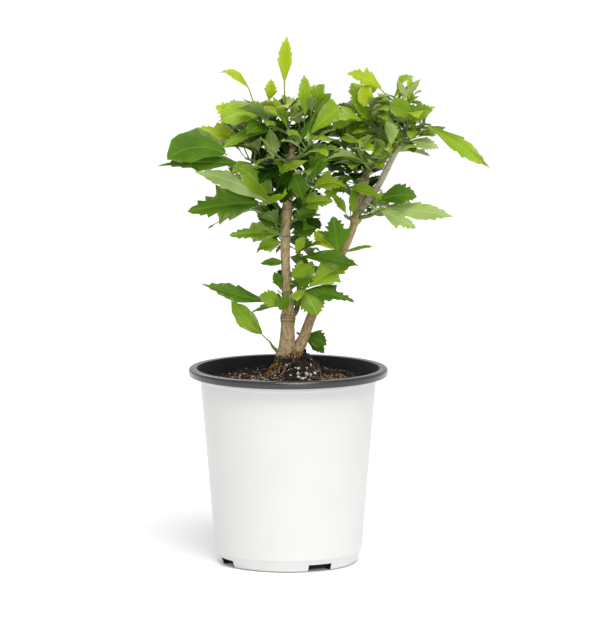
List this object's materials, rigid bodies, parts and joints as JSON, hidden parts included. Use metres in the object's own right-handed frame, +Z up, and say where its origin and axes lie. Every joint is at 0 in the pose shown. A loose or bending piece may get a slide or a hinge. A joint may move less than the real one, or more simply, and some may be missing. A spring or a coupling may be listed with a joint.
{
  "type": "potted rose of sharon",
  "caption": "Young rose of sharon shrub with tan woody stems and lobed, toothed leaves, in a round black nursery pot with a plain white wrap.",
  "frame": {"origin": "centre of the flat underside of the pot, on the ground", "axes": "+Z up the stems; +X to the side that the second stem leans to; -Y the front, from which the picture was taken"},
  "size_m": [0.274, 0.165, 0.437],
  "materials": {
    "black_plastic": "satin black moulded plastic",
    "white_film": "satin white plastic film, plain",
    "potting_mix": "damp dark peat with white perlite grains",
    "bark": "dull tan bark",
    "grey_bark": "dull grey bark",
    "green_bark": "dull green bark",
    "foliage": "satin green leaves",
    "young_foliage": "satin lime green leaves"
  },
  "bodies": {
    "root": {"pot": "black_plastic", "pot_wrap": "white_film", "potting_mix": "potting_mix", "main_stem": "bark", "right_stem": "bark", "right_leader": "bark", "right_bough": "grey_bark", "side_stem": "green_bark", "foliage_top": "young_foliage", "foliage_left": "foliage", "foliage_left_low": "foliage", "foliage_middle": "foliage", "foliage_crown_back": "foliage", "foliage_front": "foliage", "foliage_left_back": "foliage", "foliage_right_top": "foliage", "foliage_right_inner": "foliage", "foliage_right_outer": "young_foliage", "foliage_right_back": "foliage", "foliage_right_front": "foliage", "foliage_right_side": "foliage", "foliage_right_mid": "foliage", "foliage_right_mid_back": "foliage", "foliage_right_low": "foliage", "foliage_mid_left": "foliage", "foliage_mid_right": "foliage", "foliage_mid_back": "foliage", "foliage_side_tip": "foliage", "foliage_side_low": "foliage", "foliage_low_front": "foliage", "foliage_low_left": "foliage", "foliage_low_back": "foliage", "foliage_foot_left": "foliage", "foliage_foot_right": "foliage"}
  },
  "joints": []
}
